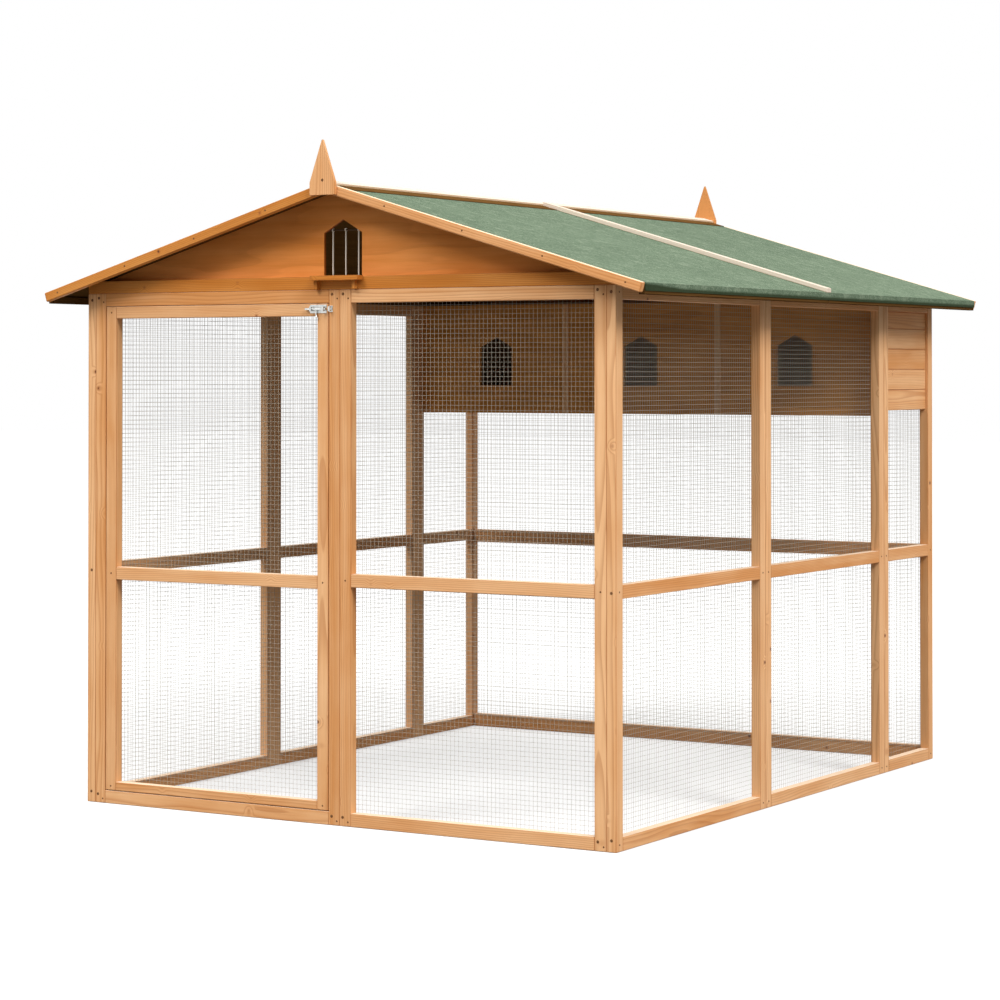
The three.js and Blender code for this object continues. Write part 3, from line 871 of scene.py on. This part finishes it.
# Roof panels: a board deck on an eave batten and a rail, two panels a side,
# covered with green mineral felt that is folded down over the eave and nailed.
deck_thickness = 0.0095
deck_edge = 0.0005
deck_tone = 0.4
eave_batten = (0.020, 0.030)
eave_batten_tone = 0.5
rail_xs = (0.832, 0.860)
rail_ends = (-1.0257, 0.9897)
rail_low = 1.448
rail_height = 0.06
rail_tone = 0.6
ridge_gap = 0.00015
sloped_edge = 0.001

deck_pale = linear(104, 74, 40)
deck_deep = linear(80, 54, 26)
deck_latewood = linear(52, 32, 12)

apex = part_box("right_roof_panel_front")[1].z
half_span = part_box("right_roof_panel_front")[1].x
ridge = Vector((0.0, 0.0, apex))
slope = math.tan(roof_slope)
slope_length = half_span / math.cos(roof_slope)
eave_height = apex - slope * half_span

felt_thickness = 0.0022
felt_fold = 0.021
felt_gloss = 0.15
felt_roughness = 0.93
felt_relief = 0.0006
fleck_relief = 0.5
felt_green = linear(96, 113, 91)
felt_dark = linear(62, 80, 60)
felt_light = linear(130, 143, 121)
felt_fold_shade = linear(34, 45, 22)
grit_noise = (700.0, 2.0, 0.7)
mottle_noise = (26.0, 4.0, 0.65)
felt_patch_noise = ((3.0, 1.6, 3.0), 4.0, 0.6)
patch_middle = 0.5
fleck_scale = 420.0
worn_patch = 0.6
worn_mottle = 0.6
worn_reach = (0.4, 0.8)
worn_share = 0.6
dusty_reach = (0.3, 0.5)
dusty_share = 0.4
light_flecks = 0.72
light_share = 0.55
dark_flecks = 0.24
dark_share = 0.5
# The painted shade of the felt's fold: its share, the heights where it fades in, and how its edge
# drops and wavers behind the front end.
fold_shade_share = 0.94
fold_shade_fades = (eave_height - 0.007, eave_height + 0.001)
fold_shade_drop_ends = (-1.12, -0.85)
fold_shade_drop = 0.010
fold_shade_sway = 0.006


def mineral_felt(name):
    """Green felt with flecks of mineral and painted shade along its fold, whose top edge drops
    lower behind the front end.
    """
    felt = finish_named(name)
    place = felt.place()
    grit = felt.noise(place, *grit_noise)
    lot = felt.lots(place, fleck_scale)
    patch = felt.drawn_noise(place, *felt_patch_noise)
    mottle = felt.noise(place, *mottle_noise)
    worn = felt.mask(patch * worn_patch + mottle * worn_mottle, *worn_reach)
    dusty = 1 - felt.mask(mottle, *dusty_reach)
    # Painted shade on the fold: its top edge drops behind the front end and wavers with the
    # patches.
    behind = felt.mask(felt.part(place, y_axis), *fold_shade_drop_ends)
    shade_drop = behind * fold_shade_drop + (patch - patch_middle) * fold_shade_sway
    folded = 1 - felt.mask(felt.part(place, z_axis) + shade_drop, *fold_shade_fades)
    colour = felt.coats(
        felt_green,
        (worn * worn_share, felt_dark),
        (dusty * dusty_share, felt_light),
        ((lot > light_flecks) * light_share, felt_light),
        ((lot < dark_flecks) * dark_share, felt_dark),
        (folded * fold_shade_share, felt_fold_shade),
    )
    relief = grit + lot * fleck_relief
    return felt.surface(colour, felt_roughness, relief, felt_relief, gloss=felt_gloss)


def trims(way, inner, outer=None):
    """Cuts that keep a timber between two distances from the middle of the roof."""
    cuts = [(Vector((way * inner, 0.0, 0.0)), Vector((-way, 0.0, 0.0)))]
    if outer is not None:
        cuts.append((Vector((way * outer, 0.0, 0.0)), Vector((way, 0.0, 0.0))))
    return cuts


def add_sloped(mesh, way, reach, ys, drop, depth, tone, cuts=(), edge=sloped_edge, along=None):
    """A timber that lies on a slope: reach is from the ridge, and drop is under the felt's top."""
    down, out = slope_ways(way)
    corners = bmesh.ops.create_cube(mesh, size=1.0)["verts"]
    size = Vector((reach[1] - reach[0], ys[1] - ys[0], depth))
    middle = ridge + down * sum(reach) / 2 - out * (drop + depth / 2)
    middle.y = sum(ys) / 2
    turn = Matrix.Rotation(way * roof_slope, 4, "Y")
    fitted = Matrix.Translation(middle) @ turn @ Matrix.Diagonal((*size, 1.0))
    bmesh.ops.transform(mesh, matrix=fitted, verts=corners)
    ease(mesh, corners, down if along is None else along, tone, edge, cuts)


def folded_sheet(way, ys):
    """A sheet of felt from the ridge down a slope, folded down over the eave."""
    down = slope_ways(way)[0]
    eave = ridge + down * slope_length
    line = (
        ridge + down * (ridge_gap / math.cos(roof_slope)),
        eave,
        eave - Vector((0.0, 0.0, felt_fold)),
    )
    sheet = bmesh.new()
    profile = [sheet.verts.new((point.x, ys[0], point.z)) for point in line]
    edges = [sheet.edges.new(pair) for pair in zip(profile, profile[1:])]
    grown = bmesh.ops.extrude_edge_only(sheet, edges=edges)["geom"]
    moved = [part for part in grown if isinstance(part, bmesh.types.BMVert)]
    bmesh.ops.translate(sheet, vec=(0.0, ys[1] - ys[0], 0.0), verts=moved)
    bmesh.ops.recalc_face_normals(sheet, faces=sheet.faces)
    facing = sum((face.normal for face in sheet.faces), Vector())
    if facing.z < 0:
        bmesh.ops.reverse_faces(sheet, faces=sheet.faces)
    bmesh.ops.solidify(sheet, geom=sheet.faces[:], thickness=felt_thickness)
    return sheet


roof_deck = stained_wood("roof_deck", deck_pale, deck_deep, deck_latewood, gloss=0.0)
roofing_felt = mineral_felt("roofing_felt")
roof_sides = (("left", -1.0), ("right", 1.0))

for side, way in roof_sides:
    out = slope_ways(way)[1]
    for end in ("front", "rear"):
        node = f"{side}_roof_panel_{end}"
        ys = spans(node)[1]
        boards = new_timbers()
        deck_cuts = trims(way, ridge_gap, half_span - felt_thickness)
        add_sloped(
            boards, way, (0.0, slope_length), ys, felt_thickness, deck_thickness, deck_tone,
            deck_cuts, deck_edge, along=Vector((0.0, 1.0, 0.0)),
        )
        xs = sorted((way * (half_span - eave_batten[0]), way * (half_span - felt_thickness)))
        batten_zs = (eave_height - eave_batten[1], eave_height - deck_thickness)
        add_timber(boards, xs, ys, batten_zs, eave_batten_tone)
        xs = sorted(way * x for x in rail_xs)
        rail_ys = (max(ys[0], rail_ends[0]), min(ys[1], rail_ends[1]))
        rail_zs = (rail_low, rail_low + rail_height)
        under_deck = (ridge - out * (felt_thickness + deck_thickness), out)
        add_timber(boards, xs, rail_ys, rail_zs, rail_tone, cuts=[under_deck])
        piece = put_in_place(f"{side}_roof_deck_{end}", boards, roof_deck)
        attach(piece, "loft")
        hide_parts(node)

        sheet = folded_sheet(way, ys)
        piece = put_in_place(f"{side}_roof_felt_{end}", sheet, roofing_felt)
        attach(piece, "loft")


# Roof trim: barge boards nailed on down the gable edges, a batten over the felt's joint on each
# slope, two ridge boards end to end with thin dark laths beside them, and a pointed finial screwed
# on at each end. The battens and ridge boards are the same pine, paled as a painted highlight.
# Painted highlight: a paler copy of the pine for the battens and the ridge boards on top.
highlight_pine_pale = linear(208, 180, 148)
highlight_pine_deep = linear(188, 156, 120)
highlight_pine_latewood = linear(150, 114, 80)
highlight_pine_top = linear(212, 202, 190)
highlight_pine = stained_wood(
    "highlight_pine", highlight_pine_pale, highlight_pine_deep, highlight_pine_latewood, highlight_pine_top
)

overrun = 0.02
felt_gap = 0.0003
barge_depth = 0.027
barge_edge = 0.003
# The left barge boards take the darker copy of the pine: painted shade on the side turned from the
# lights.
barge_finishes = {"left": shaded_pine, "right": stained_pine}
barge_tones = {"left": {"front": 0.55, "rear": 0.5}, "right": {"front": 0.75, "rear": 0.5}}
seam_batten_depth = 0.012
seam_batten_tone = 0.05
seam_highlight_share = 0.9
seam_least_rise = -0.2

for side, way in roof_sides:
    for end, tone in barge_tones[side].items():
        node = f"{side}_barge_board_{end}"
        board = new_timbers()
        add_sloped(
            board, way, (-overrun, slope_length), spans(node)[1], 0.0, barge_depth, tone,
            trims(way, ridge_gap), barge_edge,
        )
        paint_top_highlight(board)
        piece = put_in_place(f"{side}_barge_timber_{end}", board, barge_finishes[side])
        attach(piece, "loft")
        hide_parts(node)
    node = f"{side}_seam_batten"
    xs, ys = spans(node)[:2]
    inner, outer = sorted(map(abs, xs))
    batten = new_timbers()
    add_sloped(
        batten, way, (0.0, slope_length + overrun), ys, -felt_gap - seam_batten_depth,
        seam_batten_depth, seam_batten_tone, trims(way, inner, outer),
    )
    # Painted highlight on nearly every face of the batten, even those that lean a little down.
    paint_top_highlight(batten, seam_highlight_share, seam_least_rise)
    piece = put_in_place(f"{side}_seam_batten_timber", batten, highlight_pine)
    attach(piece, "loft")
    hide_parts(node)

ridge_thickness = 0.006
ridge_half_width = 0.035
ridge_reach = (-overrun, 0.05)
ridge_board_gap = 0.00005
ridge_tone = 0.0

for end in ("front", "rear"):
    node = f"ridge_board_{end}"
    boards = new_timbers()
    for way in (-1.0, 1.0):
        add_sloped(
            boards, way, ridge_reach, spans(node)[1], -felt_gap - ridge_thickness,
            ridge_thickness, ridge_tone, trims(way, ridge_board_gap, ridge_half_width),
        )
    paint_top_highlight(boards)
    piece = put_in_place(f"{node}_timber", boards, highlight_pine)
    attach(piece, "loft")
    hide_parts(node)

lath_reach = (0.0368, 0.088)
lath_thickness = 0.0016
lath_edge = 0.0005
lath_end = 1.105
lath_tone = 0.2
seam_clear = 0.0155

laths = new_timbers()
for way in (-1.0, 1.0):
    for ys in ((-lath_end, -seam_clear), (seam_clear, lath_end)):
        add_sloped(
            laths, way, lath_reach, ys, -felt_gap - lath_thickness, lath_thickness, lath_tone,
            edge=lath_edge,
        )
piece = put_in_place("felt_edge_laths", laths, roof_deck)
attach(piece, "loft")

finial_shoulder = 0.034
finial_tip = 0.001
finial_edge = 0.0006

for end, tone in (("front", 0.75), ("rear", 1.3)):
    node = f"finial_{end}"
    xs, ys, zs = spans(node)
    shoulder = zs[0] + finial_shoulder
    taper = math.atan2(xs[1] - finial_tip, zs[1] - shoulder)
    cuts = []
    for way in (-1.0, 1.0):
        outward = Vector((way * math.cos(taper), 0.0, math.sin(taper)))
        cuts.append((Vector((way * xs[1], 0.0, shoulder)), outward))
    finial = new_timbers()
    add_timber(finial, xs, ys, zs, tone, finial_edge, cuts)
    piece = put_in_place(f"{node}_timber", finial, stained_pine)
    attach(piece, "loft")
    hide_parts(node)


# Screws and nails: small dull steel heads where the frames, the door and the trim are fixed.
# Screws hold the front posts and the finials, and nails stand beside them and everywhere else.
screw_radius = 0.0042
nail_radius = 0.0026
head_height = 0.0009
head_sides = 12
head_crown = 0.6
steel_dull = linear(92, 60, 34)
steel_bright = linear(118, 82, 52)

bottom_joint = 0.018
middle_joint = 0.662
top_joint = 1.430
screw_aside = 0.008
nail_aside = 0.009
joint_stagger = 0.006
corner_heights = (0.03, 0.66, 1.43)
finial_screw = (0.001, 1.741)
barge_shares = (0.2, 0.45, 0.7, 0.95)
door_bottom_nail = 0.012
door_top_nail = 0.017


def add_head(mesh, place, outward, radius):
    """One low round head that stands on a surface."""
    head = bmesh.ops.create_cone(
        mesh, cap_ends=True, segments=head_sides, radius1=radius, radius2=radius * head_crown,
        depth=head_height,
    )["verts"]
    turn = outward.to_track_quat("Z", "Y").to_matrix().to_4x4()
    middle = Vector(place) + outward * head_height / 2
    bmesh.ops.transform(mesh, matrix=Matrix.Translation(middle) @ turn, verts=head)


def stile_middles(span):
    """The middles of the two stiles of a frame that fills a span."""
    return (span[0] + timber_face / 2, span[1] - timber_face / 2)


screw_steel = galvanised("dull_steel", steel_dull, steel_bright)
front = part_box("door_surround")[0].y
panel_stiles = stile_middles(spans("front_panel_frame")[0])

heads = bmesh.new()
for upright in (*stile_middles(spans("door_surround")[0]), *panel_stiles):
    for height in (bottom_joint, top_joint):
        screw = (upright - screw_aside, front, height + joint_stagger)
        nail = (upright + nail_aside, front, height - joint_stagger)
        add_head(heads, screw, forward, screw_radius)
        add_head(heads, nail, forward, nail_radius)
for upright in panel_stiles:
    add_head(heads, (upright, front, sum(mid_rail) / 2), forward, nail_radius)
corner_middle = sum(spans("right_side_frame_front")[0]) / 2
for x in (-corner_middle, corner_middle):
    for height in corner_heights:
        add_head(heads, (x, front, height), forward, screw_radius)

for side, outward in side_ways.items():
    face = max(map(abs, spans(f"{side}_side_frame_front")[0])) * outward.x
    for bay in bay_tones:
        for y in stile_middles(spans(f"{side}_side_frame_{bay}")[1]):
            for height in (bottom_joint, middle_joint, top_joint):
                add_head(heads, (face, y, height), outward, nail_radius)

finial_x, finial_z = finial_screw
front_y, rear_y = (spans("finial_front")[1][0], spans("finial_rear")[1][1])
add_head(heads, (finial_x, front_y, finial_z), forward, screw_radius)
add_head(heads, (finial_x, rear_y, finial_z), -forward, screw_radius)

front_y, rear_y = (spans("right_barge_board_front")[1][0], spans("right_barge_board_rear")[1][1])
for way in (-1.0, 1.0):
    for share in barge_shares:
        x = way * half_span * share
        z = apex - slope * abs(x) - barge_depth / 2
        add_head(heads, (x, front_y, z), forward, nail_radius)
        add_head(heads, (x, rear_y, z), -forward, nail_radius)
piece = put_in_place("screw_heads", heads, screw_steel)
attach(piece, "loft")

xs, ys, (bottom, top) = spans("door_frame")
heads = bmesh.new()
for upright in stile_middles(xs):
    for height in (bottom + door_bottom_nail, sum(door_mid_rail) / 2, top - door_top_nail):
        add_head(heads, (upright, ys[0], height), forward, nail_radius)
piece = put_in_place("door_screw_heads", heads, screw_steel)
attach(piece, "door")
